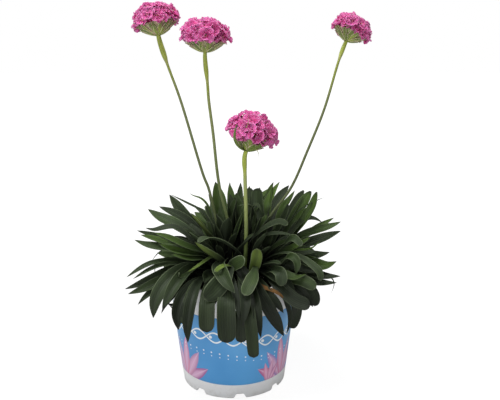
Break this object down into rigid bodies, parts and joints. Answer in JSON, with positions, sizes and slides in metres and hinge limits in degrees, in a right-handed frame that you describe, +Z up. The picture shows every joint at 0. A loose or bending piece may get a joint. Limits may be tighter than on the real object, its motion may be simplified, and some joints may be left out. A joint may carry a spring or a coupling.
{
  "type": "potted broadleaf thrift",
  "caption": "flowering thrift in a printed nursery pot: dense tuft of spoon-tipped leaves under domed pink heads on bare stems",
  "frame": {"origin": "on the pot's axis, at the face that the pot stands on", "axes": "+Z up along the pot's axis, -Y towards the side with the lowest flower head, +X to the right seen from there"},
  "size_m": [0.2264, 0.1855, 0.3471],
  "materials": {
    "pot_plastic": "white moulded, satin",
    "label_print": "printed film, satin",
    "compost": "crumbly, matte",
    "leaf": "fleshy, satin",
    "stem": "smooth, satin",
    "bract": "papery, matte",
    "petal": "velvety, matte"
  },
  "bodies": {
    "root": {"pot": "pot_plastic", "pot_label": "label_print", "compost": "compost", "rosette_back": "leaf", "rosette_left": "leaf", "rosette_right": "leaf", "stem_1": "stem", "bracts_1": "bract", "florets_1": "petal", "stem_2": "stem", "bracts_2": "bract", "florets_2": "petal", "stem_3": "stem", "bracts_3": "bract", "florets_3": "petal", "stem_4": "stem", "bracts_4": "bract", "florets_4": "petal"}
  },
  "joints": []
}
